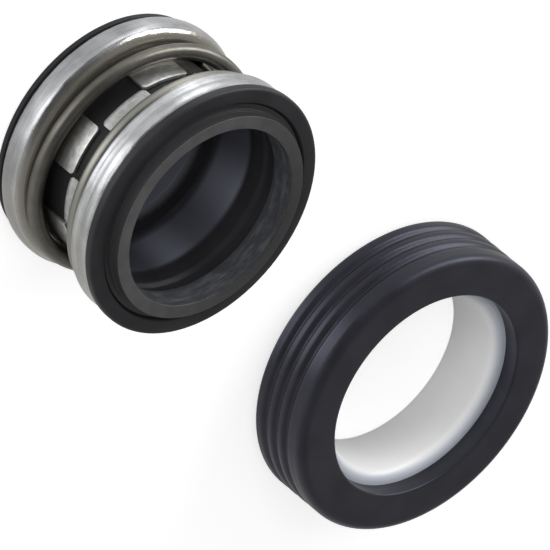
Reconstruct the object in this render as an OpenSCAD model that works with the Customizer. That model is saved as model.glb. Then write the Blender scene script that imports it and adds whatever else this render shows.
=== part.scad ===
// Two-piece component mechanical seal for a pump shaft.
// The rotary head stands on its rubber tail with the carbon face up.
// The stationary seat lies beside it on its lapped face.

/* [Shaft and set] */
// Diameter of the shaft that the rubber tail grips
shaft_d = 19.05; // [18:0.05:20.5]
// Clear distance between the head and the seat as they lie
set_gap = 30.6; // [10:0.1:60]
// Clearance between pieces that are pushed or moulded together
fit_gap = 0.05; // [0.03:0.01:0.08]

/* [Head] */
// Diameter over the rubber flange at the front of the head
flange_d = 31.75; // [30:0.05:35]
// Free height of the head from the tail to the carbon face
head_h = 20; // [18.5:0.1:23]
// Height of the rear spring seat above the tail's end
rear_seat_h = 5.1; // [4.8:0.1:5.6]
// Depth of the front spring seat below the carbon face
front_seat_depth = 5.55; // [5.2:0.05:6.4]
// Height of the rubber flange in front of the shell's edge
flange_h = 1.22; // [1:0.02:1.4]
// Radius of the rounded edge on the rubber flange
flange_round = 0.45; // [0.2:0.05:0.5]

/* [Carbon ring] */
// Rubber wall between the front shell and the carbon ring
pocket_wall = 1.21; // [0.9:0.01:1.5]
// Step in from the carbon body to the running nose
nose_inset = 0.8; // [0.6:0.05:1.2]
// Width of the running nose
nose_w = 1.6; // [1.2:0.05:2]
// Length of the carbon ring
carbon_l = 3.35; // [2.8:0.05:3.6]
// Height of the nose above its first step
nose_h = 1.15; // [0.8:0.05:1.3]
// Height of the carbon face above the rubber flange
nose_proud = 1.2; // [0.9:0.05:1.4]
// Depth of the lower step round the nose
nose_step_h = 0.35; // [0.2:0.05:0.5]

/* [Pressed shells] */
// Distance from the flange's rim in to the shells' crowns
shell_inset = 0.225; // [0.15:0.025:0.4]
// Thickness of the stainless sheet
sheet_t = 0.4; // [0.3:0.05:0.5]
// Clearance between the coil and the lugs inside it
lug_clear = 0.575; // [0.4:0.025:0.8]
// Number of lugs on each shell
lug_count = 6; // [4:1:6]
// Angle that one lug spans
lug_angle = 28.6; // [20:0.2:29]
// Angle between driving flanks that rest against each other
drive_angle = 0.5; // [0.3:0.1:0.9]
// Length of the front shell's lugs
front_lug_l = 4.9; // [4:0.1:5.4]
// How far the lugs reach past each other at free height
lug_engage = 0.1; // [0:0.1:1]
// Radius of the lugs' corners
lug_round = 0.55; // [0.2:0.05:1]
// Inside radius of the bend between spring seat and lugs
bend_r = 0.35; // [0.2:0.05:0.5]
// Depth of the shallow valley round the front shell
valley_depth = 0.14; // [0.08:0.01:0.22]
// Outside radius of the front shell's corner at the spring seat
front_corner_r = 0.55; // [0.55:0.05:0.8]
// Outside radius of the front shell's turned-in front edge
front_curl_r = 1.9; // [1.5:0.1:2.2]
// Outside radius of the rear shell's corner at the spring seat
rear_corner_r = 1.65; // [1.2:0.05:1.8]
// Outside radius of the rear shell's bulge over the tail
rear_bulge_r = 3; // [2.6:0.1:3.4]
// Height of the rear lip above the tail's end
rear_lip_h = 0.8; // [0.7:0.05:1.1]

/* [Spring] */
// Diameter of the spring wire
wire_d = 1.85; // [1.5:0.05:2]
// Distance from the shells' crowns in to the outside of the coil
coil_inset = 0.625; // [0.5:0.025:0.8]

/* [Bellows] */
// Wall of the neck inside the lugs
neck_wall = 0.65; // [0.4:0.05:0.8]
// How far the rubber backs the carbon ring
back_lip = 1.65; // [1.2:0.05:1.8]
// Depth of the step in the neck below the recess
neck_step = 0.2; // [0.1:0.05:0.3]
// Length of the tail's grip on the shaft
grip_l = 2.9; // [2.4:0.05:3.2]
// Depth of the countersink at the back of the tail
countersink_h = 3.3; // [2.6:0.05:3.5]
// Distance from the shells' crowns in to the edge of the tail
tail_inset = 0.75; // [0.6:0.05:0.95]
// Width of the flat end of the tail, with its rounded edge
tail_rim_w = 1.5; // [1:0.1:2.5]
// Radius of the rounded edge of the tail
tail_round = 0.25; // [0.1:0.05:0.3]

/* [Seat] */
// Diameter over the rubber cup
seat_d = 36.5; // [34.5:0.1:40]
// Height of the seat over the ceramic and the rubber
seat_h = 10; // [9.2:0.1:11]
// Rubber wall between the ceramic ring and the housing
cup_wall = 2.75; // [2.2:0.05:3.2]
// Radial room between the shaft and the ceramic ring
shaft_room = 2.075; // [1.5:0.025:2.2]
// Depth of the ceramic's back face below the rubber
ceramic_sink = 2.2; // [1.8:0.1:2.5]
// Radius of the ceramic's inner back corner
ceramic_round = 1.3; // [0.6:0.1:1.4]
// How far the lapped face stands out of the rubber
ceramic_proud = 1.2; // [0.8:0.1:1.4]
// Width of the ceramic's back left open inside the rubber
open_back_w = 1.55; // [1.4:0.05:2]
// Radius of the rubber's outer back shoulder
shoulder_r = 1.15; // [0.6:0.05:1.3]
// Number of grooves round the cup
groove_count = 3; // [1:1:4]
// Depth of each groove
groove_depth = 0.45; // [0.2:0.05:0.6]
// Length from the rubber back to the start of the grooves
plain_band = 2.15; // [1.8:0.05:2.6]
// Length from the last groove to the front of the rubber
cup_end = 1.07; // [0.8:0.01:1.4]
// Radius of the cup's front edge
front_round = 0.7; // [0.4:0.05:0.8]
// Radius round the opening in the rubber back
back_round = 0.3; // [0.1:0.05:0.5]

/* [Hidden] */
$fn = 120;
edge_chamfer = 0.15;

// The origin is on the floor at the middle of the set, which lies along Y
set_l = flange_d + set_gap + seat_d;
head_y = set_l / 2 - flange_d / 2;
seat_y = seat_d / 2 - set_l / 2;

// Radii of the head, from the flange's rim inwards
flange_r = flange_d / 2;
shell_r = flange_r - shell_inset;
coil_r = shell_r - coil_inset - wire_d / 2;
lug_r = coil_r - wire_d / 2 - lug_clear;
lug_in_r = lug_r - sheet_t;
bend_x = lug_r + bend_r;
shell_fill_r = shell_r - valley_depth - sheet_t - fit_gap;
pocket_r = shell_fill_r - pocket_wall;
carbon_r = pocket_r - fit_gap;
nose_r = carbon_r - nose_inset;
carbon_bore_r = nose_r - nose_w;
neck_out_r = lug_in_r - fit_gap;
neck_in_r = neck_out_r - neck_wall;
recess_r = pocket_r - back_lip;
tail_r = shell_r - tail_inset;
shaft_r = shaft_d / 2;

// Heights of the head, from its two ends inwards
flange_z = head_h - nose_proud;
front_edge_z = flange_z - flange_h;
front_seat_z = head_h - front_seat_depth;
carbon_back_z = head_h - carbon_l;
first_step_z = head_h - nose_h;
body_top_z = first_step_z - nose_step_h;
recess_floor_z = front_seat_z + sheet_t;
grip_top_z = countersink_h + grip_l;
neck_floor_z = grip_top_z + 0.1;

// Height of the wide part of the neck below the recess
recess_h = 2.1;

// Sections of the shells
curl_angle = 34;
front_curl_z = front_edge_z - front_curl_r * sin(curl_angle);
front_curl_x = shell_r - front_curl_r;
curl_fill_r = front_curl_r - sheet_t - fit_gap;
curl_fill_angle = min(curl_angle, acos((shell_fill_r - front_curl_x) / curl_fill_r));
rear_corner_z = rear_seat_h - rear_corner_r;
bulge_gap = 0.45;
rear_bulge_z = rear_corner_z - bulge_gap;
lip_angle = asin((rear_bulge_z - rear_lip_h) / rear_bulge_r);
front_lug_tip_z = front_seat_z - front_lug_l;
rear_lug_tip_z = front_lug_tip_z + lug_engage;
lug_pitch = 360 / lug_count;
front_lug_start = 59.9;
rear_lug_start = front_lug_start - drive_angle - lug_angle;

// Sections of the seat
seat_r = seat_d / 2;
ceramic_r = seat_r - cup_wall;
ceramic_back_z = seat_h - ceramic_sink;
seat_bore_r = shaft_r + shaft_room;
back_r = seat_bore_r + open_back_w;
cup_front_z = ceramic_proud;
groove_pitch = (seat_h - cup_front_z - plain_band - cup_end) / groove_count;

// Points of an arc round [x, z] from angle a0 to angle a1
function arc(x, z, r, a0, a1, n) =
    [for (i = [0 : n]) let (a = a0 + (a1 - a0) * i / n) [x + r * cos(a), z + r * sin(a)]];

// The same points in the other order
function reversed(points) = [for (i = [len(points) - 1 : -1 : 0]) points[i]];

module head_revolve() {
    translate([0, head_y, 0])
        rotate_extrude()
            children();
}

module carbon_ring() {
    ledge_w = nose_inset / 4;
    groove_w = 0.3;
    color([0.29, 0.29, 0.29])
        head_revolve()
            difference() {
                polygon([
                    [carbon_bore_r, carbon_back_z],
                    [carbon_r - edge_chamfer, carbon_back_z],
                    [carbon_r, carbon_back_z + edge_chamfer],
                    [carbon_r, body_top_z - edge_chamfer],
                    [carbon_r - edge_chamfer, body_top_z],
                    [nose_r + ledge_w, body_top_z],
                    [nose_r + ledge_w, first_step_z],
                    [nose_r, first_step_z],
                    [nose_r, head_h],
                    [carbon_bore_r, head_h]
                ]);
                // Fine groove between the turned land and the moulded bore
                translate([carbon_bore_r, first_step_z])
                    square([groove_w, groove_w], center = true);
            }
}

// Outer line of the front shell from its front edge to its lugs' tips, t inside the outer skin
function front_shell_line(t) = concat(
    arc(front_curl_x, front_curl_z, front_curl_r - t, curl_angle, 0, 4),
    [for (i = [1 : 9])
        let (u = i / 10)
        [shell_r - t - valley_depth * (1 - cos(360 * u)) / 2,
         front_curl_z + (front_seat_z + front_corner_r - front_curl_z) * u]],
    arc(shell_r - front_corner_r, front_seat_z + front_corner_r, front_corner_r - t, 0, -90, 6),
    arc(bend_x, front_seat_z - bend_r, bend_r + t, 90, 180, 5),
    [[lug_r - t, front_lug_tip_z]]
);

// Outer line of the rear shell from its rear lip to its lugs' tips
function rear_shell_line(t) = concat(
    arc(shell_r - rear_bulge_r, rear_bulge_z, rear_bulge_r - t, -lip_angle, 0, 8),
    arc(shell_r - rear_corner_r, rear_corner_z, rear_corner_r - t, 0, 90, 8),
    arc(bend_x, rear_seat_h + bend_r, bend_r + t, 270, 180, 5),
    [[lug_r - t, rear_lug_tip_z]]
);

// The gaps punched between the lugs of one shell, from the spring seat to past the tips
module lug_gaps(start, seat_z, tip_z) {
    gap_angle = lug_pitch - lug_angle;
    side = lug_r * sin(gap_angle / 2);
    up = sign(tip_z - seat_z);
    flare = arc(side + lug_round, tip_z - up * lug_round, lug_round, 180, 180 - up * 80, 5);
    edge = concat([[side, seat_z]], flare, [[side + lug_round, tip_z + up]]);
    for (i = [0 : lug_count - 1])
        rotate([90, 0, start + lug_angle + gap_angle / 2 + i * lug_pitch + 90])
            linear_extrude(height = shell_r)
                polygon(concat(edge, reversed([for (p = edge) [-p[0], p[1]]])));
}

module front_shell() {
    color([0.72, 0.72, 0.70])
        translate([0, head_y, 0])
            difference() {
                rotate_extrude()
                    polygon(concat(front_shell_line(0), reversed(front_shell_line(sheet_t))));
                lug_gaps(front_lug_start, front_seat_z, front_lug_tip_z);
            }
}

module rear_shell() {
    color([0.70, 0.70, 0.68])
        translate([0, head_y, 0])
            difference() {
                rotate_extrude()
                    polygon(concat(rear_shell_line(0), reversed(rear_shell_line(sheet_t))));
                lug_gaps(rear_lug_start, rear_seat_h, rear_lug_tip_z);
            }
}

// Height of the wire's centre at angle a: a flat turn on each seat and a rise between them
rear_turn_end = 150;
rise_start = 30;
rise_end = -170;
wire_start = 335;
wire_end = -465;
wire_low_z = rear_seat_h + wire_d / 2 + fit_gap;
wire_high_z = front_seat_z - wire_d / 2 - fit_gap;
wire_lead = 0.16 * (wire_high_z - wire_low_z);
function smooth(u) = u * u * (3 - 2 * u);
function wire_z(a) =
    a > rear_turn_end ? wire_low_z
    : a > rise_start ? wire_low_z + wire_lead * pow((rear_turn_end - a) / (rear_turn_end - rise_start), 1.3)
    : a > rise_end ? let (u = (rise_start - a) / (rise_start - rise_end))
        wire_low_z + wire_lead + (wire_high_z - wire_low_z - wire_lead) * (0.35 * u + 0.65 * smooth(u))
    : wire_high_z;

module spring() {
    sides = 12;
    rings = 136;
    points = [for (i = [0 : rings])
        let (a = wire_start + (wire_end - wire_start) * i / rings)
        for (k = [0 : sides - 1])
            let (b = 360 * k / sides, r = coil_r + wire_d / 2 * cos(b))
            [r * cos(a), r * sin(a), wire_z(a) + wire_d / 2 * sin(b)]];
    skin = [for (i = [0 : rings - 1], k = [0 : sides - 1])
        [i * sides + k, i * sides + (k + 1) % sides,
         (i + 1) * sides + (k + 1) % sides, (i + 1) * sides + k]];
    first = [for (k = [sides - 1 : -1 : 0]) k];
    last = [for (k = [0 : sides - 1]) rings * sides + k];
    color([0.60, 0.59, 0.54])
        translate([0, head_y, 0])
            polyhedron(points, concat(skin, [first, last]), convexity = 6);
}

module bellows() {
    tail_fill_r = rear_bulge_r - sheet_t - fit_gap;
    corner_fill_r = rear_corner_r - sheet_t - fit_gap;
    lip_r = shell_r - rear_bulge_r + tail_fill_r * cos(lip_angle);
    under_lip_z = rear_lip_h - 2 * fit_gap;
    curled_fill_r = min(shell_fill_r, front_curl_x + curl_fill_r * cos(curl_angle));
    inner_round = 0.2;
    mouth = 0.2;
    color([0.16, 0.16, 0.17])
        head_revolve()
            polygon(concat(
                // Countersink and flat end of the tail
                [[shaft_r, countersink_h], [tail_r - tail_rim_w, 0]],
                // Rounded edge that swells out behind the rear lip
                arc(tail_r - tail_round, tail_round, tail_round, -90, 0, 4),
                [[tail_r, under_lip_z - mouth], [tail_r - mouth, under_lip_z], [lip_r + mouth, under_lip_z]],
                // Rubber that fills the rear shell
                arc(shell_r - rear_bulge_r, rear_bulge_z, tail_fill_r, -lip_angle, 0, 8),
                arc(shell_r - rear_corner_r, rear_corner_z, corner_fill_r, 0, 90, 8),
                // Outside of the neck
                [[neck_out_r, rear_seat_h - sheet_t - fit_gap], [neck_out_r, recess_floor_z + fit_gap]],
                // Rubber that fills the front shell, follows its curl and swells out over its edge
                arc(shell_fill_r - mouth, recess_floor_z + fit_gap + mouth, mouth, -90, 0, 4),
                [[shell_fill_r, front_curl_z + curl_fill_r * sin(curl_fill_angle)],
                 [curled_fill_r, front_curl_z + curl_fill_r * sin(curl_angle)],
                 [curled_fill_r, front_edge_z + fit_gap], [flange_r - mouth, front_edge_z + fit_gap],
                 [flange_r, front_edge_z + fit_gap + mouth]],
                arc(flange_r - flange_round, flange_z - flange_round, flange_round, 0, 90, 5),
                // Pocket that grips the carbon ring
                [[pocket_r + mouth, flange_z], [pocket_r, flange_z - 2 * mouth],
                 [pocket_r, carbon_back_z - fit_gap], [recess_r, carbon_back_z - fit_gap]],
                // Recess behind the carbon ring and the step below it
                [[recess_r, recess_floor_z], [neck_in_r + neck_step, recess_floor_z - recess_h / 4],
                 [neck_in_r + neck_step, recess_floor_z - recess_h],
                 [neck_in_r, recess_floor_z - recess_h - neck_step]],
                // Inside of the neck down to the floor over the grip
                arc(neck_in_r - inner_round, neck_floor_z + inner_round, inner_round, 0, -90, 4),
                [[shaft_r + neck_floor_z - grip_top_z, neck_floor_z], [shaft_r, grip_top_z]]
            ));
}

module seat_revolve() {
    translate([0, seat_y, 0])
        rotate_extrude()
            children();
}

module seat_ring() {
    color([0.93, 0.93, 0.93])
        seat_revolve()
            polygon(concat(
                [[seat_bore_r + edge_chamfer, 0], [ceramic_r - edge_chamfer, 0],
                 [ceramic_r, edge_chamfer], [ceramic_r, ceramic_back_z]],
                arc(seat_bore_r + ceramic_round, ceramic_back_z - ceramic_round, ceramic_round, 90, 180, 8),
                [[seat_bore_r, edge_chamfer]]
            ));
}

// Outer line of the cup through the grooves, from back to front
function groove_line() = [for (g = [0 : groove_count - 1], i = [(g == 0 ? 0 : 1) : 8])
    let (u = i / 8)
    [seat_r - groove_depth * (1 - cos(360 * u)) / 2, seat_h - plain_band - groove_pitch * (g + u)]];

module seat_cup() {
    color([0.15, 0.15, 0.17])
        seat_revolve()
            polygon(concat(
                [[back_r, ceramic_back_z + fit_gap]],
                arc(back_r + back_round, seat_h - back_round, back_round, 180, 90, 4),
                arc(seat_r - shoulder_r, seat_h - shoulder_r, shoulder_r, 90, 0, 7),
                groove_line(),
                arc(seat_r - front_round, cup_front_z + front_round, front_round, 0, -90, 5),
                [[ceramic_r + fit_gap, cup_front_z], [ceramic_r + fit_gap, ceramic_back_z + fit_gap]]
            ));
}

carbon_ring();
bellows();
front_shell();
spring();
rear_shell();
seat_ring();
seat_cup();
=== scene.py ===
import math

import bmesh
import bpy
from mathutils import Matrix, Vector


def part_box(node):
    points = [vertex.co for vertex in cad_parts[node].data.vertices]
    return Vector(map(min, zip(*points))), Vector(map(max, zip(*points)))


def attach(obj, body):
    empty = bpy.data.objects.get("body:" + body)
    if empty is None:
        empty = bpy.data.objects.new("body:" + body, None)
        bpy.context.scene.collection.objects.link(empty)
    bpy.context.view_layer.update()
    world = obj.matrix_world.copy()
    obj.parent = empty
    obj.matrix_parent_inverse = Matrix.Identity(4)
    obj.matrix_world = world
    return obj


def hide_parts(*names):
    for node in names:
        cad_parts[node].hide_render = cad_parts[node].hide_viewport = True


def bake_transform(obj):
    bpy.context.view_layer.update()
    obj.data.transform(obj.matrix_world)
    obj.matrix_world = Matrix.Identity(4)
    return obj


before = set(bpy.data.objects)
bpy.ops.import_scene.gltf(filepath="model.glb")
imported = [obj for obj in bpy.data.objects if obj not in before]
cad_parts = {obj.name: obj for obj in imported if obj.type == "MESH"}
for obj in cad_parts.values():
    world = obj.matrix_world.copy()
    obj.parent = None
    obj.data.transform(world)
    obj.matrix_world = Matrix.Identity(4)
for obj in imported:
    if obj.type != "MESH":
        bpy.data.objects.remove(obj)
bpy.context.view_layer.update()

# The bellows
# One black rubber moulding: a flange that holds the carbon ring, a thin neck inside the lugs, and a
# tail that grips the shaft. It comes out of its mould half matt, with rounded lips at both ends.

MM = 0.001
STEPS_ROUND = 288
head_y = (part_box("rear_shell")[0].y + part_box("rear_shell")[1].y) / 2 / MM
head_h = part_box("carbon_ring")[1].z / MM
shaft_r = 9.525
grip_groove_z = 5.1
grip_high_z = 6.2
countersink_r = 13.4
countersink_z = 3.3
tail_r = 14.9
tail_lip_z = 0.7
tail_waist_r = 14.5
tail_bulge_r = 15.1
tail_bulge_z = 3.0
tail_top_r = 14.0
tail_high_z = 4.65
neck_out_r = 12.15
neck_in_r = 11.5
neck_step_r = 11.7
neck_low_z = 6.3
neck_step_low_z = 12.4
neck_step_high_z = 12.8
neck_high_z = 14.25
flange_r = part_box("bellows")[1].x / MM
flange_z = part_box("bellows")[1].z / MM
flange_low_z = 17.63
flange_back_r = 15.06
flange_back_z = 14.9
flange_step_r = 14.95
flange_step_z = 17.33
pocket_r = 13.85
pocket_floor_z = 16.6
recess_r = 12.2
recess_floor_z = 14.85

rubber_dark = (0.018, 0.018, 0.020)
rubber_pale = (0.025, 0.025, 0.028)
rubber_painted_shade = (0.009, 0.009, 0.0095)
bloom_painted_light = (0.085, 0.088, 0.112)
painted_sheen_streak = (0.19, 0.20, 0.245)
grip_bloom_painted_light = (0.17, 0.18, 0.215)


def rounded(corners, turn=12, longest=1.2):
    """Points of the closed outline through corners (r, z, radius of the round), in millimetres.

    A round takes a point for every turn degrees, and no side is longer than longest.
    """
    points = []
    for i, (r, z, radius) in enumerate(corners):
        corner = Vector((r, z))
        before = Vector(corners[i - 1][:2]) - corner
        after = Vector(corners[(i + 1) % len(corners)][:2]) - corner
        half = before.angle(after) / 2
        reach = min(radius / math.tan(half), 0.49 * before.length, 0.49 * after.length)
        if reach < 1e-4:
            points.append(corner)
            continue
        start = corner + before.normalized() * reach
        end = corner + after.normalized() * reach
        inwards = (before.normalized() + after.normalized()).normalized()
        middle = corner + inwards * reach / math.cos(half)
        sweep = math.pi - 2 * half
        count = max(2, round(math.degrees(sweep) / turn))
        arm, last = start - middle, end - middle
        for k in range(count + 1):
            share = k / count
            weight_a = math.sin((1 - share) * sweep) / math.sin(sweep)
            weight_b = math.sin(share * sweep) / math.sin(sweep)
            points.append(middle + arm * weight_a + last * weight_b)
    filled = []
    for i, point in enumerate(points):
        following = points[(i + 1) % len(points)]
        cuts = max(1, math.ceil((following - point).length / longest))
        filled += [point.lerp(following, k / cuts) for k in range(cuts)]
    return filled


def finish_mesh(name, points, faces, sharp=32):
    """A smooth-shaded object from points in metres, with the edges over sharp degrees kept crisp."""
    mesh = bpy.data.meshes.new(name)
    mesh.from_pydata(points, [], faces)
    work = bmesh.new()
    work.from_mesh(mesh)
    bmesh.ops.recalc_face_normals(work, faces=work.faces)
    work.to_mesh(mesh)
    work.free()
    mesh.shade_smooth()
    mesh.set_sharp_from_angle(angle=math.radians(sharp))
    piece = bpy.data.objects.new(name, mesh)
    bpy.context.scene.collection.objects.link(piece)
    return piece


def revolve(name, outline, axis_y):
    """The closed outline, in millimetres, turned round the upright axis at axis_y."""
    count = len(outline)
    points, faces = [], []
    for step in range(STEPS_ROUND):
        angle = 2 * math.pi * step / STEPS_ROUND
        for r, z in outline:
            points.append((r * math.cos(angle) * MM, (axis_y + r * math.sin(angle)) * MM, z * MM))
        ahead = (step + 1) % STEPS_ROUND
        for k in range(count):
            beside = (k + 1) % count
            here, there = step * count, ahead * count
            faces.append((here + k, there + k, there + beside, here + beside))
    return finish_mesh(name, points, faces)


def new_group(name, inputs, outputs):
    """An empty shader node group with float inputs (name, value) and outputs (name, socket type)."""
    group = bpy.data.node_groups.new(name, "ShaderNodeTree")
    for label, value in inputs:
        socket = group.interface.new_socket(label, in_out="INPUT", socket_type="NodeSocketFloat")
        socket.default_value = value
    for label, kind in outputs:
        group.interface.new_socket(label, in_out="OUTPUT", socket_type=kind)
    return group, group.nodes.new("NodeGroupInput"), group.nodes.new("NodeGroupOutput")


def add(tree, kind, links=(), **settings):
    """A node of that kind, with its settings and with (socket, source or value) pairs."""
    node = tree.nodes.new(kind)
    for key, value in settings.items():
        setattr(node, key, value)
    for socket, source in links:
        if isinstance(source, bpy.types.NodeSocket):
            tree.links.new(source, node.inputs[socket])
        else:
            node.inputs[socket].default_value = source
    return node


def use(tree, group, links=()):
    """That group's node, placed in a material with its own values."""
    return add(tree, "ShaderNodeGroup", links, node_tree=group)


def maths(tree, operation, *values):
    """The output of a Math node fed by up to three values or outputs."""
    return add(tree, "ShaderNodeMath", list(enumerate(values)), operation=operation).outputs[0]


def new_material(name, **plain):
    """A material with one Principled shader, whose plain sockets are set by name."""
    material = bpy.data.materials.new(name)
    material.use_nodes = True
    tree = material.node_tree
    shader = tree.nodes["Principled BSDF"]
    for key, value in plain.items():
        shader.inputs[key.replace("_", " ")].default_value = value
    return material, tree, shader


# Radius and height in millimetres about one upright axis, and the direction round it
ring_place, entry, exit_node = new_group(
    "ring_place",
    [("Axis Y", 0.0)],
    [("Round", "NodeSocketVector"), ("Radius", "NodeSocketFloat"), ("Height", "NodeSocketFloat")],
)
where = add(ring_place, "ShaderNodeTexCoord")
axis = add(ring_place, "ShaderNodeCombineXYZ", [("Y", entry.outputs["Axis Y"])])
in_mm = add(
    ring_place, "ShaderNodeVectorMath", [(0, where.outputs["Object"]), (3, 1 / MM)], operation="SCALE"
)
from_axis = add(
    ring_place,
    "ShaderNodeVectorMath",
    [(0, in_mm.outputs[0]), (1, axis.outputs[0])],
    operation="SUBTRACT",
)
split = add(ring_place, "ShaderNodeSeparateXYZ", [(0, from_axis.outputs[0])])
level = add(ring_place, "ShaderNodeCombineXYZ", [("X", split.outputs["X"]), ("Y", split.outputs["Y"])])
length = add(ring_place, "ShaderNodeVectorMath", [(0, level.outputs[0])], operation="LENGTH")
direction = add(ring_place, "ShaderNodeVectorMath", [(0, level.outputs[0])], operation="NORMALIZE")
ring_place.links.new(direction.outputs[0], exit_node.inputs["Round"])
ring_place.links.new(length.outputs["Value"], exit_node.inputs["Radius"])
ring_place.links.new(split.outputs["Z"], exit_node.inputs["Height"])

# 1 on one bearing round an axis, in degrees, falling to 0 at a half width to either side of it
bearing_share, entry, exit_node = new_group(
    "bearing_share",
    [("Axis Y", 0.0), ("Bearing", 0.0), ("Half width", 20.0)],
    [("Share", "NodeSocketFloat")],
)
place = use(bearing_share, ring_place, [("Axis Y", entry.outputs["Axis Y"])])
turn = maths(bearing_share, "RADIANS", entry.outputs["Bearing"])
towards = add(
    bearing_share,
    "ShaderNodeCombineXYZ",
    [("X", maths(bearing_share, "COSINE", turn)), ("Y", maths(bearing_share, "SINE", turn))],
)
facing = add(
    bearing_share,
    "ShaderNodeVectorMath",
    [(0, place.outputs["Round"]), (1, towards.outputs[0])],
    operation="DOT_PRODUCT",
)
off = maths(bearing_share, "DEGREES", maths(bearing_share, "ARCCOSINE", facing.outputs["Value"]))
share = add(
    bearing_share,
    "ShaderNodeMapRange",
    [("Value", off), ("From Min", entry.outputs["Half width"]), ("From Max", 0.0)],
    interpolation_type="SMOOTHSTEP",
)
bearing_share.links.new(share.outputs["Result"], exit_node.inputs["Share"])

# Fine lines that run round an axis, as turning, drawing and lapping leave them
round_lines, entry, exit_node = new_group(
    "round_lines",
    [("Axis Y", 0.0), ("Lines per mm", 6.0), ("Run", 3.0), ("Roughness", 0.6)],
    [("Lines", "NodeSocketFloat")],
)
place = use(round_lines, ring_place, [("Axis Y", entry.outputs["Axis Y"])])
run = add(
    round_lines,
    "ShaderNodeVectorMath",
    [(0, place.outputs["Round"]), (3, entry.outputs["Run"])],
    operation="SCALE",
)
across = maths(round_lines, "MULTIPLY", place.outputs["Radius"], entry.outputs["Lines per mm"])
along = maths(round_lines, "MULTIPLY", place.outputs["Height"], entry.outputs["Lines per mm"])
lift = add(round_lines, "ShaderNodeCombineXYZ", [("Z", across)])
spot = add(
    round_lines, "ShaderNodeVectorMath", [(0, run.outputs[0]), (1, lift.outputs[0])], operation="ADD"
)
noise = add(
    round_lines,
    "ShaderNodeTexNoise",
    [
        ("Vector", spot.outputs[0]),
        ("W", along),
        ("Scale", 1.0),
        ("Detail", 3.0),
        ("Roughness", entry.outputs["Roughness"]),
    ],
    noise_dimensions="4D",
)
round_lines.links.new(noise.outputs["Fac"], exit_node.inputs["Lines"])

# Even grain, soft clouds and sparse bright specks, all in the piece's own space
surface_grain, entry, exit_node = new_group(
    "surface_grain",
    [("Grains per mm", 8.0), ("Clouds per mm", 0.25)],
    [("Grain", "NodeSocketFloat"), ("Clouds", "NodeSocketFloat"), ("Specks", "NodeSocketFloat")],
)
where = add(surface_grain, "ShaderNodeTexCoord")
in_mm = add(
    surface_grain,
    "ShaderNodeVectorMath",
    [(0, where.outputs["Object"]), (3, 1 / MM)],
    operation="SCALE",
)
grain = add(
    surface_grain,
    "ShaderNodeTexNoise",
    [("Vector", in_mm.outputs[0]), ("Scale", entry.outputs["Grains per mm"]), ("Detail", 2.0)],
)
clouds = add(
    surface_grain,
    "ShaderNodeTexNoise",
    [("Vector", in_mm.outputs[0]), ("Scale", entry.outputs["Clouds per mm"]), ("Detail", 4.0)],
)
specks = add(
    surface_grain,
    "ShaderNodeMapRange",
    [("Value", grain.outputs["Fac"]), ("From Min", 0.66), ("From Max", 0.74)],
)
surface_grain.links.new(grain.outputs["Fac"], exit_node.inputs["Grain"])
surface_grain.links.new(clouds.outputs["Fac"], exit_node.inputs["Clouds"])
surface_grain.links.new(specks.outputs["Result"], exit_node.inputs["Specks"])


def blend_colour(tree, share, first, second):
    """Mixes two colours, or two colour outputs, by a share from 0 to 1."""
    node = add(tree, "ShaderNodeMix", [("Factor", share)], data_type="RGBA")
    for socket, colour in ((node.inputs[6], first), (node.inputs[7], second)):
        if isinstance(colour, bpy.types.NodeSocket):
            tree.links.new(colour, socket)
        else:
            socket.default_value = (*colour, 1)
    return node.outputs[2]


def spread(tree, source, low, high, to_low=0.0, to_high=1.0):
    """source, taken from the range low to high onto the range to_low to to_high."""
    node = add(
        tree,
        "ShaderNodeMapRange",
        [
            ("Value", source),
            ("From Min", low),
            ("From Max", high),
            ("To Min", to_low),
            ("To Max", to_high),
        ],
    )
    return node.outputs["Result"]


def bumped(tree, height, depth, strength, under=None):
    """The normal of a surface raised by that height, where depth is in millimetres."""
    links = [("Height", height), ("Distance", depth * MM), ("Strength", strength)]
    if under is not None:
        links.append(("Normal", under))
    return add(tree, "ShaderNodeBump", links).outputs[0]


def rubber(name, axis_y, dark, pale, dull, sheen):
    """Black moulded rubber: a dark and a paler tone, faint mould lines and a fine grain."""
    material, tree, shader = new_material(name, Specular_IOR_Level=sheen)
    grain_node = use(tree, surface_grain, [("Grains per mm", 7.0), ("Clouds per mm", 0.22)])
    lines = use(tree, round_lines, [("Axis Y", axis_y), ("Lines per mm", 3.0), ("Run", 2.5)])
    tone = spread(tree, grain_node.outputs["Clouds"], 0.35, 0.65)
    colour = blend_colour(tree, tone, dark, pale)
    tree.links.new(colour, shader.inputs["Base Color"])
    gloss = spread(tree, lines.outputs["Lines"], 0.35, 0.65, dull - 0.04, dull + 0.05)
    tree.links.new(gloss, shader.inputs["Roughness"])
    height = maths(tree, "MULTIPLY_ADD", grain_node.outputs["Grain"], 0.6, lines.outputs["Lines"])
    tree.links.new(bumped(tree, height, 0.012, 0.6), shader.inputs["Normal"])
    return material, tree, shader, colour


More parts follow.
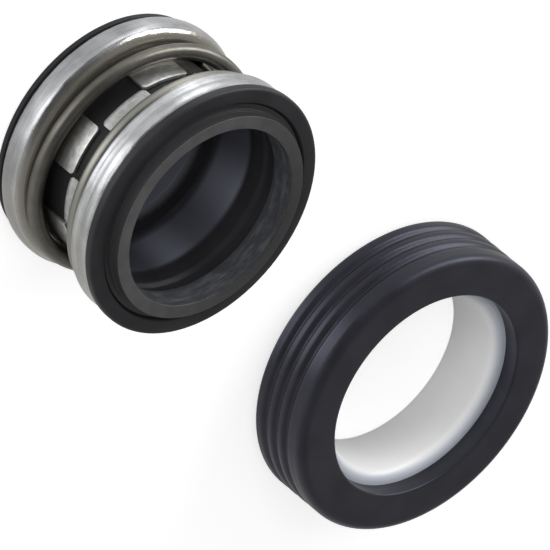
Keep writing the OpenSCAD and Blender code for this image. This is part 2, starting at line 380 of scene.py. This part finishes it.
bellows = revolve(
    "rubber_bellows",
    rounded(
        [
            (shaft_r, countersink_z, 0.1),
            (countersink_r, 0, 0.08),
            (tail_r, 0, 0.25),
            (tail_r, tail_lip_z - 0.02, 0.12),
            (tail_waist_r + 0.05, tail_lip_z + 0.02, 0.02),
            (tail_waist_r, 1.3, 0.1),
            (tail_bulge_r, tail_bulge_z, 0.6),
            (tail_r, 4.2, 0.8),
            (tail_top_r, tail_high_z - 0.03, 0.4),
            (neck_out_r, tail_high_z, 0.1),
            (neck_out_r, flange_back_z, 0.1),
            (flange_back_r, flange_back_z, 0.2),
            (flange_back_r, flange_step_z - 0.2, 0.1),
            (flange_step_r, flange_step_z, 0.1),
            (flange_step_r, flange_low_z, 0.02),
            (flange_r, flange_low_z, 0.2),
            (flange_r, flange_z, 0.45),
            (pocket_r + 0.2, flange_z, 0.15),
            (pocket_r, flange_z - 0.32, 0.1),
            (pocket_r, pocket_floor_z, 0.05),
            (recess_r, pocket_floor_z, 0.15),
            (recess_r, recess_floor_z, 0.6),
            (neck_step_r, neck_high_z + 0.05, 0.6),
            (neck_step_r, neck_step_high_z, 0.5),
            (neck_in_r, neck_step_low_z, 0.5),
            (neck_in_r, neck_low_z, 0.5),
            (shaft_r + 0.1, neck_low_z, 0.08),
            (shaft_r, grip_high_z, 0.05),
            (shaft_r, grip_groove_z + 0.1, 0.03),
            (shaft_r + 0.12, grip_groove_z, 0.05),
            (shaft_r, grip_groove_z - 0.1, 0.03),
        ]
    ),
    head_y,
)
material, tree, shader, outside = rubber(
    "bellows_rubber", head_y, rubber_dark, rubber_pale, dull=0.45, sheen=0.28
)
# The inside is painted paler and bluish, partly a bloom from the mould's core and partly painted
# light, with two paler streaks along the neck painted on as sheen
place = use(tree, ring_place, [("Axis Y", head_y)])
painted_sheen_streaks = [
    use(tree, bearing_share, [("Axis Y", head_y), ("Bearing", bearing), ("Half width", width)])
    for bearing, width in ((238, 20), (291, 27))
]
painted_sheen = maths(tree, "MAXIMUM", painted_sheen_streaks[0].outputs["Share"], painted_sheen_streaks[1].outputs["Share"])
bloom_and_light = blend_colour(tree, painted_sheen, bloom_painted_light, painted_sheen_streak)
in_grip = spread(tree, place.outputs["Radius"], 10.4, 9.8)
bloom_and_light = blend_colour(tree, in_grip, bloom_and_light, grip_bloom_painted_light)
# Above the neck's step it fades out, so that the band there stays dark as painted shade
below_step = spread(
    tree, place.outputs["Height"], neck_step_low_z + 0.1, neck_step_low_z - 0.5
)
on_inner_wall = spread(tree, place.outputs["Radius"], neck_step_r + 0.1, neck_in_r + 0.1)
inside = maths(tree, "MULTIPLY", below_step, on_inner_wall)
# The painted light fades out in the corner at the neck's floor, leaving it dark as painted shade
over_floor = maths(tree, "ADD", place.outputs["Height"], -neck_low_z)
from_floor = maths(tree, "ABSOLUTE", over_floor)
inside = maths(tree, "MULTIPLY", inside, spread(tree, from_floor, 0.15, 1.1))
# The neck's outer side between the lugs is painted deep black as shade
near_neck = spread(tree, place.outputs["Radius"], neck_out_r + 0.8, neck_out_r + 0.2)
outer_side = spread(tree, place.outputs["Radius"], neck_out_r - 0.13, neck_out_r - 0.05)
under_flange = spread(
    tree, place.outputs["Height"], flange_back_z - 0.15, flange_back_z - 0.3
)
on_neck = maths(tree, "MULTIPLY", maths(tree, "MULTIPLY", near_neck, outer_side), under_flange)
outside = blend_colour(tree, on_neck, outside, rubber_painted_shade)
colour = blend_colour(tree, inside, outside, bloom_and_light)
tree.links.new(colour, shader.inputs["Base Color"])
bellows.data.materials.append(material)
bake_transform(bellows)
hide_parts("bellows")

# The carbon ring
# A turned ring of carbon-graphite, pressed into the rubber pocket. Its raised nose is lapped flat,
# two small steps lead down to the body, and the bore is turned in front and left moulded behind.

carbon_bore_r = 11.4
nose_r = 13.0
ledge_r = 13.2
carbon_r = 13.8
nose_step_z = head_h - 1.15
body_z = head_h - 1.5
carbon_back_z = head_h - 3.35
bore_groove = 0.15

carbon_dark = (0.060, 0.060, 0.062)
carbon_pale = (0.086, 0.086, 0.088)
carbon_painted_shade = (0.026, 0.026, 0.027)
carbon_speck = (0.13, 0.13, 0.13)
carbon_bore = (0.043, 0.044, 0.050)
carbon_painted_sheen = (0.088, 0.091, 0.10)
carbon_skin = (0.027, 0.027, 0.029)

carbon = revolve(
    "carbon_face_ring",
    rounded(
        [
            (carbon_bore_r, carbon_back_z, 0.1),
            (carbon_r, carbon_back_z, 0.15),
            (carbon_r, body_z, 0.12),
            (ledge_r, body_z, 0.03),
            (ledge_r, nose_step_z, 0.05),
            (nose_r, nose_step_z, 0.03),
            (nose_r, head_h, 0.06),
            (carbon_bore_r, head_h, 0.08),
            (carbon_bore_r, nose_step_z + bore_groove, 0.03),
            (carbon_bore_r + bore_groove, nose_step_z + 0.1, 0.04),
            (carbon_bore_r + bore_groove, nose_step_z - 0.1, 0.04),
            (carbon_bore_r, nose_step_z - bore_groove, 0.03),
        ]
    ),
    head_y,
)
material, tree, shader = new_material("carbon_graphite", Specular_IOR_Level=0.45)
grain_node = use(tree, surface_grain, [("Grains per mm", 6.0), ("Clouds per mm", 0.5)])
lines = use(tree, round_lines, [("Axis Y", head_y), ("Lines per mm", 7.0), ("Run", 5.0)])
tone = spread(tree, grain_node.outputs["Clouds"], 0.3, 0.7)
colour = blend_colour(tree, tone, carbon_dark, carbon_pale)
# One side of the lapped face is painted darker as shade
dark_side = use(
    tree, bearing_share, [("Axis Y", head_y), ("Bearing", 285.0), ("Half width", 130.0)]
)
dark_side = spread(tree, dark_side.outputs["Share"], 0, 1, 0, 0.95)
colour = blend_colour(tree, dark_side, colour, carbon_painted_shade)
colour = blend_colour(tree, grain_node.outputs["Specks"], colour, carbon_speck)
place = use(tree, ring_place, [("Axis Y", head_y)])
# The bore is darker and bluer than the lapped face, with paler patches painted on as sheen
sheen_lines = use(tree, round_lines, [("Axis Y", head_y), ("Lines per mm", 1.4), ("Run", 5.0)])
sheen_patches = spread(tree, sheen_lines.outputs["Lines"], 0.46, 0.68)
bore_colour = blend_colour(tree, sheen_patches, carbon_bore, carbon_painted_sheen)
in_bore = spread(tree, place.outputs["Radius"], carbon_bore_r + 0.22, carbon_bore_r + 0.16)
under_edge = spread(tree, place.outputs["Height"], head_h - 0.1, head_h - 0.16)
in_bore = maths(tree, "MULTIPLY", in_bore, under_edge)
colour = blend_colour(tree, in_bore, colour, bore_colour)
# Outside the lapped face the ring keeps its dark moulded skin
outer = spread(tree, place.outputs["Radius"], nose_r - 0.08, nose_r - 0.03)
below_face = spread(tree, place.outputs["Height"], head_h - 0.02, head_h - 0.08)
skin = maths(tree, "MULTIPLY", outer, below_face)
colour = blend_colour(tree, skin, colour, carbon_skin)
tree.links.new(colour, shader.inputs["Base Color"])
gloss = spread(tree, lines.outputs["Lines"], 0.3, 0.7, 0.38, 0.52)
tree.links.new(gloss, shader.inputs["Roughness"])
tree.links.new(bumped(tree, lines.outputs["Lines"], 0.006, 0.5), shader.inputs["Normal"])
carbon.data.materials.append(material)
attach(carbon, "face")
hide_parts("carbon_ring")

# The rear shell
# A cup of 0.4 mm stainless sheet, pressed over the rubber tail and rolled in round its lip. The
# inner edge is punched into six lugs and bent up, so that they mesh with the front shell's lugs.

SHEET = 0.4
shell_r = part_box("rear_shell")[1].x / MM
lug_r = 12.6
bend_r = 0.35
lip_roll_r = 3.0
lip_turn = 47
rear_corner_r = 1.65
rear_seat_r = 13.5
rear_seat_z = 5.1
rear_tip_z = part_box("rear_shell")[1].z / MM
lug_count = 6
lug_angle = 28.6
lug_round = 0.55
lug_meet_z = 9.6
LUG_STEPS = 18
GAP_STEPS = 24
rear_lug_start = 30.8

steel_drawn = (0.40, 0.41, 0.425)
steel_bright = (0.62, 0.63, 0.64)
steel_warm_side = (0.45, 0.437, 0.40)
steel_stained = (0.40, 0.38, 0.335)
lug_tip_dull = (0.50, 0.51, 0.50)
lug_tip_scuffed = (0.66, 0.672, 0.655)
lug_root_painted_shade = (0.12, 0.108, 0.09)


def arc(r, z, radius, first, last, count):
    """Points along an arc round (r, z), from the first angle to the last, in degrees."""
    angles = [math.radians(first + (last - first) * k / count) for k in range(count + 1)]
    return [(r + radius * math.cos(a), z + radius * math.sin(a)) for a in angles]


def lug_columns(start):
    """Angles round a shell in degrees, with how far the lug is cut short there, or None in a gap."""
    pitch = 360 / lug_count
    round_angle = math.degrees(lug_round / lug_r)
    # A lug's corner is a quarter round, in steps of 15 degrees
    flank = [
        (1 - math.cos(math.radians(a)), 1 - math.sin(math.radians(a))) for a in range(0, 91, 15)
    ]
    columns = []
    for lug in range(lug_count):
        first = start + lug * pitch
        columns += [(first + round_angle * x, lug_round * y) for x, y in flank]
        inner = lug_angle - 2 * round_angle
        columns += [
            (first + round_angle + inner * k / LUG_STEPS, 0) for k in range(1, LUG_STEPS)
        ]
        columns += [(first + lug_angle - round_angle * x, lug_round * y) for x, y in reversed(flank)]
        gap = pitch - lug_angle
        columns += [
            (first + lug_angle + gap * k / GAP_STEPS, None) for k in range(1, GAP_STEPS)
        ]
    return columns


def pressed_shell(name, skin, bend, tip_z, start):
    """A sheet shell: the skin all round, and the bend and lugs only where the columns have them."""
    columns = lug_columns(start)
    lug_rows = 10
    rows = len(skin) + len(bend) + lug_rows
    points, index = [], {}
    for c, (angle, short) in enumerate(columns):
        line = list(skin)
        if short is not None:
            end_r, end_z = bend[-1]
            reach = tip_z - end_z - math.copysign(short, tip_z - end_z)
            line += bend + [(end_r, end_z + reach * k / lug_rows) for k in range(1, lug_rows + 1)]
        for k, (r, z) in enumerate(line):
            index[c, k] = len(points)
            a = math.radians(angle)
            points.append((r * math.cos(a) * MM, (head_y + r * math.sin(a)) * MM, z * MM))
    faces = []
    for c in range(len(columns)):
        ahead = (c + 1) % len(columns)
        for k in range(rows - 1):
            corners = [(c, k), (ahead, k), (ahead, k + 1), (c, k + 1)]
            if all(corner in index for corner in corners):
                faces.append(tuple(index[corner] for corner in corners))
    shell = finish_mesh(name, points, faces)
    # The skin's normals have to point out, away from the rubber, for the sheet to grow inwards
    outermost = max(shell.data.polygons, key=lambda face: face.center.x)
    if outermost.normal.x < 0:
        shell.data.flip_normals()
    sheet = shell.modifiers.new("sheet", "SOLIDIFY")
    sheet.thickness = SHEET * MM
    sheet.offset = -1
    sheet.use_even_offset = True
    edge = shell.modifiers.new("edge", "BEVEL")
    edge.width = 0.07 * MM
    edge.segments = 2
    edge.limit_method = "ANGLE"
    edge.angle_limit = math.radians(50)
    view = bpy.context.evaluated_depsgraph_get()
    shell.data = bpy.data.meshes.new_from_object(shell.evaluated_get(view))
    shell.modifiers.clear()
    shell.data.shade_smooth()
    shell.data.set_sharp_from_angle(angle=math.radians(40))
    return shell


def stainless():
    """Pressed stainless sheet: drawn lines round it, tumbled bright, with duller lugs whose roots are
    painted dark brown as shade.
    """
    made, tree, shader = new_material("pressed_stainless", Metallic=1.0)
    place = use(tree, ring_place, [("Axis Y", head_y)])
    lines = use(tree, round_lines, [("Axis Y", head_y), ("Lines per mm", 5.0), ("Run", 4.0)])
    grain_node = use(tree, surface_grain, [("Grains per mm", 5.0), ("Clouds per mm", 0.35)])
    dents = use(tree, surface_grain, [("Grains per mm", 0.9), ("Clouds per mm", 1.5)])
    on_lugs = spread(tree, place.outputs["Radius"], lug_r + 0.25, lug_r + 0.05)
    drawn = maths(tree, "ADD", grain_node.outputs["Clouds"], lines.outputs["Lines"])
    tone = spread(tree, drawn, 0.78, 1.22)
    bright = blend_colour(tree, tone, steel_drawn, steel_bright)
    # One side is a little yellower and darker
    yellow_side = use(
        tree, bearing_share, [("Axis Y", head_y), ("Bearing", 175.0), ("Half width", 75.0)]
    )
    bright = blend_colour(tree, yellow_side.outputs["Share"], bright, steel_warm_side)
    # The lugs are scuffed pale at their tips, and their roots near the seats are painted dark brown as
    # shade
    over_tips = maths(tree, "ADD", place.outputs["Height"], -lug_meet_z)
    along_lug = maths(tree, "ABSOLUTE", over_tips)
    at_root = spread(tree, along_lug, 0.4, 3.4)
    scuff = spread(tree, dents.outputs["Clouds"], 0.38, 0.62)
    tip_colour = blend_colour(tree, scuff, lug_tip_dull, lug_tip_scuffed)
    lug_colour = blend_colour(tree, at_root, tip_colour, lug_root_painted_shade)
    # The corners that turn in under the coil are stained a little
    turned_in = spread(tree, place.outputs["Radius"], shell_r - 0.1, shell_r - 0.55)
    by_coil = spread(tree, along_lug, 6.3, 6.0)
    stain = maths(tree, "MULTIPLY", turned_in, by_coil)
    bright = blend_colour(tree, stain, bright, steel_stained)
    colour = blend_colour(tree, on_lugs, bright, lug_colour)
    tree.links.new(colour, shader.inputs["Base Color"])
    film = spread(tree, stain, 0, 1, 1.0, 0.85)
    tree.links.new(film, shader.inputs["Metallic"])
    gloss = spread(tree, lines.outputs["Lines"], 0.34, 0.66, 0.11, 0.27)
    gloss = maths(tree, "MULTIPLY_ADD", on_lugs, 0.18, gloss)
    tree.links.new(gloss, shader.inputs["Roughness"])
    # Tumbling leaves the pressed skin softly uneven, under the finer drawn lines
    uneven = bumped(tree, dents.outputs["Grain"], 0.12, 0.3)
    scored = bumped(tree, lines.outputs["Lines"], 0.01, 0.35, under=uneven)
    tree.links.new(scored, shader.inputs["Normal"])
    return made


steel = stainless()
rear_skin = (
    arc(shell_r - lip_roll_r, lip_roll_r, lip_roll_r, -lip_turn, 0, 12)
    + arc(shell_r - rear_corner_r, rear_seat_z - rear_corner_r, rear_corner_r, 0, 90, 14)
    + [(rear_seat_r, rear_seat_z)]
    + arc(lug_r + bend_r, rear_seat_z + bend_r, bend_r, 270, 240, 2)
)
rear_bend = arc(lug_r + bend_r, rear_seat_z + bend_r, bend_r, 225, 180, 3)
rear_shell = pressed_shell("rear_shell_sheet", rear_skin, rear_bend, rear_tip_z, rear_lug_start)
rear_shell.data.materials.append(steel)
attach(rear_shell, "tail")
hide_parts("rear_shell")

# The spring
# Round stainless wire wound into one open turn between two flat turns. It stands on the rear
# shell's seat, pushes on the front shell's, and keeps the faint lines of the drawing die.

wire_d = 1.85
coil_r = 14.1
wire_start = 335
wire_end = -465
rear_turn_end = 150
rise_start = 30
rise_end = -170
wire_low_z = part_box("spring")[0].z / MM + wire_d / 2
wire_high_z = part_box("spring")[1].z / MM - wire_d / 2
wire_lead = 0.16 * (wire_high_z - wire_low_z)

wire_tarnish_and_shade = (0.135, 0.128, 0.111)
wire_satin_and_shade = (0.205, 0.196, 0.174)
wire_front_tone = (0.31, 0.305, 0.277)


def wire_z(angle):
    """Height of the wire's middle: flat turns on both seats, a slow lift and a rise between."""
    if angle > rear_turn_end:
        return wire_low_z
    if angle > rise_start:
        return wire_low_z + wire_lead * ((rear_turn_end - angle) / (rear_turn_end - rise_start)) ** 1.3
    if angle > rise_end:
        u = (rise_start - angle) / (rise_start - rise_end)
        rise = 0.35 * u + 0.65 * u * u * (3 - 2 * u)
        return wire_low_z + wire_lead + (wire_high_z - wire_low_z - wire_lead) * rise
    return wire_high_z


def wound_wire(name, rings=440, sides=28, chamfer=0.12):
    """The wire as rings of points, with a small chamfer at its two cut ends."""
    points, faces, heights = [], [], []
    radii = [wire_d / 2 - chamfer] + [wire_d / 2] * (rings + 1) + [wire_d / 2 - chamfer]
    turns = [wire_start + math.degrees(chamfer / coil_r)]
    turns += [wire_start + (wire_end - wire_start) * k / rings for k in range(rings + 1)]
    turns += [wire_end - math.degrees(chamfer / coil_r)]
    for angle, radius in zip(turns, radii):
        a = math.radians(angle)
        middle = wire_z(angle)
        for k in range(sides):
            b = 2 * math.pi * k / sides
            r = coil_r + radius * math.cos(b)
            z = middle + radius * math.sin(b)
            points.append((r * math.cos(a) * MM, (head_y + r * math.sin(a)) * MM, z * MM))
            heights.append(middle)
    for i in range(len(turns) - 1):
        for k in range(sides):
            beside = (k + 1) % sides
            here, there = i * sides, (i + 1) * sides
            faces.append((here + k, here + beside, there + beside, there + k))
    faces.append(tuple(range(sides)))
    faces.append(tuple(range(len(points) - sides, len(points))))
    return finish_mesh(name, points, faces), heights


spring, ring_heights = wound_wire("spring_wire")
material, tree, shader = new_material("spring_wire", Metallic=1.0)
lines = use(tree, round_lines, [("Axis Y", head_y), ("Lines per mm", 9.0), ("Run", 1.5)])
grain_node = use(tree, surface_grain, [("Grains per mm", 6.0), ("Clouds per mm", 0.3)])
# The wire's dark tones are partly tarnish and partly painted shade, as it lies between the shells
tone = spread(tree, grain_node.outputs["Clouds"], 0.3, 0.7)
tarnish_and_shade = blend_colour(tree, tone, wire_tarnish_and_shade, wire_satin_and_shade)
# It is lighter and more metallic towards the front shell
place = use(tree, ring_place, [("Axis Y", head_y)])
towards_front = spread(tree, place.outputs["Height"], 7.5, 13.4)
colour = blend_colour(tree, towards_front, tarnish_and_shade, wire_front_tone)
tree.links.new(colour, shader.inputs["Base Color"])
film = spread(tree, towards_front, 0, 1, 0.86, 0.97)
tree.links.new(film, shader.inputs["Metallic"])
gloss = spread(tree, lines.outputs["Lines"], 0.3, 0.7, 0.3, 0.42)
tree.links.new(gloss, shader.inputs["Roughness"])
tree.links.new(bumped(tree, lines.outputs["Lines"], 0.01, 0.4), shader.inputs["Normal"])
spring.data.materials.append(material)
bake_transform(spring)
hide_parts("spring")

# The front shell
# The same sheet pressed round the rubber flange, curled in at its front edge, with a shallow
# rolled valley between two beads. Its six lugs reach back between those of the rear shell.

front_edge_z = 17.58
front_curl_r = 1.9
front_curl_turn = 34
front_curl_z = front_edge_z - front_curl_r * math.sin(math.radians(front_curl_turn))
front_seat_r = 13.9
front_seat_z = 14.45
front_corner_r = 0.55
front_tip_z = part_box("front_shell")[0].z / MM
front_lug_start = 59.9
valley_depth = 0.14
valley_steps = 16

valley_low_z = front_seat_z + front_corner_r
front_skin = arc(shell_r - front_curl_r, front_curl_z, front_curl_r, front_curl_turn, 0, 8)
for k in range(1, valley_steps):
    u = k / valley_steps
    r = shell_r - valley_depth * (1 - math.cos(2 * math.pi * u)) / 2
    front_skin.append((r, front_curl_z + (valley_low_z - front_curl_z) * u))
front_skin += arc(shell_r - front_corner_r, valley_low_z, front_corner_r, 0, -90, 10)
front_skin += [(front_seat_r, front_seat_z)]
front_skin += arc(lug_r + bend_r, front_seat_z - bend_r, bend_r, 90, 120, 2)
front_bend = arc(lug_r + bend_r, front_seat_z - bend_r, bend_r, 135, 180, 3)
front_shell = pressed_shell(
    "front_shell_sheet", front_skin, front_bend, front_tip_z, front_lug_start
)
front_shell.data.materials.append(steel)
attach(front_shell, "face")
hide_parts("front_shell")

# The seat ring
# White alumina, pressed, fired and ground. Its lapped face lies on the floor here, and the inner
# corner at the back is a wide smooth round.

seat_y = (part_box("seat_ring")[0].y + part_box("seat_ring")[1].y) / 2 / MM
seat_bore_r = 11.6
ceramic_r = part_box("seat_ring")[1].x / MM
ceramic_back_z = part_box("seat_ring")[1].z / MM
ceramic_corner_r = 1.3

alumina_dull = (0.89, 0.89, 0.89)
alumina_white = (0.92, 0.92, 0.92)
alumina_painted_shade = (0.56, 0.59, 0.655)

seat_ring = revolve(
    "ceramic_ring",
    rounded(
        [
            (seat_bore_r, 0, 0.15),
            (ceramic_r, 0, 0.15),
            (ceramic_r, ceramic_back_z, 0.05),
            (seat_bore_r, ceramic_back_z, ceramic_corner_r),
        ],
        turn=6,
    ),
    seat_y,
)
material, tree, shader = new_material("white_ceramic", Specular_IOR_Level=0.5)
grain_node = use(tree, surface_grain, [("Grains per mm", 4.0), ("Clouds per mm", 0.2)])
tone = spread(tree, grain_node.outputs["Clouds"], 0.3, 0.7)
colour = blend_colour(tree, tone, alumina_dull, alumina_white)
# The rounded corner is painted bluish grey as shade
place = use(tree, ring_place, [("Axis Y", seat_y)])
on_corner = spread(tree, place.outputs["Radius"], seat_bore_r + 0.1, seat_bore_r + 0.75)
colour = blend_colour(tree, on_corner, colour, alumina_painted_shade)
tree.links.new(colour, shader.inputs["Base Color"])
gloss = spread(tree, grain_node.outputs["Grain"], 0.3, 0.7, 0.3, 0.38)
tree.links.new(gloss, shader.inputs["Roughness"])
seat_ring.data.materials.append(material)
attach(seat_ring, "seat")
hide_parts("seat_ring")

# The seat cup
# A black rubber ring moulded to hold the ceramic. Three shallow grooves run round it, so that it
# seals when it is pushed into the pump's housing, and its back stays open round the shaft.

seat_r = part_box("seat_cup")[1].x / MM
seat_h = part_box("seat_cup")[1].z / MM
cup_front_z = 1.2
cup_pocket_r = ceramic_r + 0.05
cup_floor_z = ceramic_back_z + 0.05
cup_back_r = 13.15
plain_band = 2.15
groove_depth = 0.45
groove_pitch = 1.86
groove_count = 3
groove_steps = 20
groove_form = 1.8

cup_dark = (0.0175, 0.017, 0.0205)
cup_pale = (0.025, 0.0245, 0.030)
cup_sheen = (0.71, 0.75, 1.0)

cup_outline = rounded(
    [
        (cup_pocket_r, cup_front_z, 0.1),
        (cup_pocket_r, cup_floor_z, 0.02),
        (cup_back_r, cup_floor_z, 0.02),
        (cup_back_r, seat_h, 0.3),
        (seat_r, seat_h, 1.15),
        (seat_r, cup_front_z, 0.7),
    ],
    turn=8,
)
# Part of the straight outer side gives way to narrow grooves with wide round ribs between them
groove_top_z = seat_h - plain_band
groove_low_z = groove_top_z - groove_count * groove_pitch
ribbed = []
for k in range(groove_steps * groove_count + 1):
    u = k / groove_steps
    depth = groove_depth * ((1 - math.cos(2 * math.pi * u)) / 2) ** groove_form
    ribbed.append((seat_r - depth, groove_top_z - groove_pitch * u))
straight = [
    i
    for i, (r, z) in enumerate(cup_outline)
    if r >= seat_r - 0.01 and groove_low_z < z < groove_top_z
]
cup_outline[straight[0] : straight[-1] + 1] = ribbed
seat_cup = revolve("rubber_cup", cup_outline, seat_y)
material, tree, shader, colour = rubber(
    "cup_rubber", seat_y, cup_dark, cup_pale, dull=0.38, sheen=0.46
)
shader.inputs["Specular Tint"].default_value = (*cup_sheen, 1)
seat_cup.data.materials.append(material)
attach(seat_cup, "seat")
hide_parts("seat_cup")

# The studio
# A plain white floor, four soft lamps and a pale surround. The camera looks down past the head to
# the seat and is rolled, as in the photograph, so that the set lies slantwise.

IMAGE = 550
PIXELS_PER_MM = 8.97
tilt = math.radians(52.2)
roll = math.radians(39.5)
distance_px = 20000
face_right_px = -64.1
face_up_px = 57.4

right = Vector(
    (math.sin(roll), -math.cos(tilt) * math.cos(roll), math.sin(tilt) * math.cos(roll))
)
up = Vector((math.cos(roll), math.cos(tilt) * math.sin(roll), -math.sin(tilt) * math.sin(roll)))
back = Vector((0, math.sin(tilt), math.cos(tilt)))
face_middle = Vector((0, head_y, head_h))
centre = face_middle - (right * face_right_px + up * face_up_px) / PIXELS_PER_MM
eye = (centre + back * (distance_px / PIXELS_PER_MM)) * MM
camera_data = bpy.data.cameras.new("camera")
camera_data.sensor_width = 36
camera_data.lens = camera_data.sensor_width * distance_px / IMAGE
camera_data.clip_start = 0.1
camera_data.clip_end = 20
camera = bpy.data.objects.new("camera", camera_data)
camera.matrix_world = Matrix.Translation(eye) @ Matrix((right, up, back)).transposed().to_4x4()
bpy.context.scene.collection.objects.link(camera)
bpy.context.scene.camera = camera

# The floor glows white for the camera. In reflections it glows too, less so close to the head
FLOOR_GLOW = 0.68
GLOW_NEAR, GLOW_FAR = 0.18, 0.32
glow_near_r, glow_far_r = 16, 60
pool_start_r, pool_full_r = 15, 33
pool_fade = 1.8
floor_half = 6.0
floor_z = -0.02 * MM
paper_white = (0.62, 0.62, 0.62)

floor_mesh = bpy.data.meshes.new("floor")
floor_corners = [
    (x * floor_half, y * floor_half, floor_z) for x, y in ((-1, -1), (1, -1), (1, 1), (-1, 1))
]
floor_mesh.from_pydata(floor_corners, [], [(0, 1, 2, 3)])
floor = bpy.data.objects.new("floor", floor_mesh)
bpy.context.scene.collection.objects.link(floor)

floor_material = bpy.data.materials.new("white_floor")
floor_material.use_nodes = True
tree = floor_material.node_tree
tree.nodes.clear()
rays = add(tree, "ShaderNodeLightPath")
mirrored = maths(
    tree, "MAXIMUM", rays.outputs["Is Glossy Ray"], rays.outputs["Is Transmission Ray"]
)
place = use(tree, ring_place, [("Axis Y", head_y)])
mirrored_glow = spread(
    tree, place.outputs["Radius"], glow_near_r, glow_far_r, GLOW_NEAR, GLOW_FAR
)
# Brighter pools of light lie beside the head and the seat, seen in reflections alone. Each has its
# bearing and half width in degrees, the radius from which it fades out, and its strength
for axis_y, bearing, width, fade_r, strength in (
    (head_y, 106, 29, 80, 1.6),
    (head_y, 26, 27, 80, 1.35),
    (seat_y, 101, 24, 26, 4.2),
    (seat_y, 28, 22, 26, 0.4),
):
    lit = use(
        tree, bearing_share, [("Axis Y", axis_y), ("Bearing", bearing), ("Half width", width)]
    )
    place = use(tree, ring_place, [("Axis Y", axis_y)])
    pool_start = spread(tree, place.outputs["Radius"], pool_start_r, pool_full_r)
    pool_end = spread(tree, place.outputs["Radius"], pool_fade * fade_r, fade_r)
    pool = maths(tree, "MULTIPLY", lit.outputs["Share"], pool_start)
    pool = maths(tree, "MULTIPLY", pool, pool_end)
    mirrored_glow = maths(tree, "MULTIPLY_ADD", pool, strength, mirrored_glow)
mirrored_glow = maths(tree, "MULTIPLY", mirrored, mirrored_glow)
glow_level = maths(
    tree, "MULTIPLY_ADD", rays.outputs["Is Camera Ray"], FLOOR_GLOW, mirrored_glow
)
glow = add(tree, "ShaderNodeEmission", [("Strength", glow_level)])
paper = add(tree, "ShaderNodeBsdfDiffuse", [("Color", (*paper_white, 1))])
both = add(tree, "ShaderNodeAddShader", [(0, paper.outputs[0]), (1, glow.outputs[0])])
add(tree, "ShaderNodeOutputMaterial", [("Surface", both.outputs[0])])
floor_mesh.materials.append(floor_material)

# The surround is pale near the horizon, dimmer overhead and dark behind the camera, which itself
# sees it white
HORIZON_LIGHT, OVERHEAD_LIGHT = 0.55, 0.27
BEHIND_CAMERA = 0.15
world = bpy.data.worlds.new("surround")
bpy.context.scene.world = world
world.use_nodes = True
tree = world.node_tree
sky = add(tree, "ShaderNodeTexCoord")
heading = add(tree, "ShaderNodeSeparateXYZ", [(0, sky.outputs["Generated"])])
level = spread(tree, heading.outputs["Z"], 0.1, 0.75, HORIZON_LIGHT, OVERHEAD_LIGHT)
facing = add(
    tree,
    "ShaderNodeVectorMath",
    [(0, sky.outputs["Generated"]), (1, back)],
    operation="DOT_PRODUCT",
)
level = maths(
    tree, "MULTIPLY", level, spread(tree, facing.outputs["Value"], 0.94, 0.6, BEHIND_CAMERA, 1)
)
rays = add(tree, "ShaderNodeLightPath")
level = spread(tree, rays.outputs["Is Camera Ray"], 0, 1, level, 1)
tree.links.new(level, tree.nodes["Background"].inputs["Strength"])
tree.nodes["Background"].inputs["Color"].default_value = (1, 1, 1, 1)

# The lamps stand this many metres from the middle of the set
lamp_distance = 0.6


def soft_lamp(name, bearing, height, radiance, width, tall, mirrored):
    """A flat lamp at that bearing and height in degrees, shown in glossy surfaces or not."""
    data = bpy.data.lights.new(name, "AREA")
    data.shape = "RECTANGLE"
    data.size = width
    data.size_y = tall
    data.energy = radiance * math.pi * width * tall
    lamp = bpy.data.objects.new(name, data)
    round_angle, lift = math.radians(bearing), math.radians(height)
    towards = Vector(
        (
            math.cos(lift) * math.cos(round_angle),
            math.cos(lift) * math.sin(round_angle),
            math.sin(lift),
        )
    )
    lamp.location = towards * lamp_distance
    lamp.rotation_euler = towards.to_track_quat("Z", "Y").to_euler()
    lamp.visible_glossy = mirrored
    bpy.context.scene.collection.objects.link(lamp)


soft_lamp("lamp_near", 106, 13, radiance=3.0, width=0.55, tall=0.24, mirrored=False)
soft_lamp("lamp_side", -2, 19, radiance=7.0, width=0.6, tall=0.18, mirrored=True)
soft_lamp("lamp_glint", 104, 4, radiance=1.4, width=0.34, tall=0.1, mirrored=True)
soft_lamp("lamp_front", 84, 40, radiance=2.6, width=0.4, tall=0.4, mirrored=False)

bpy.context.scene.view_settings.view_transform = "Standard"
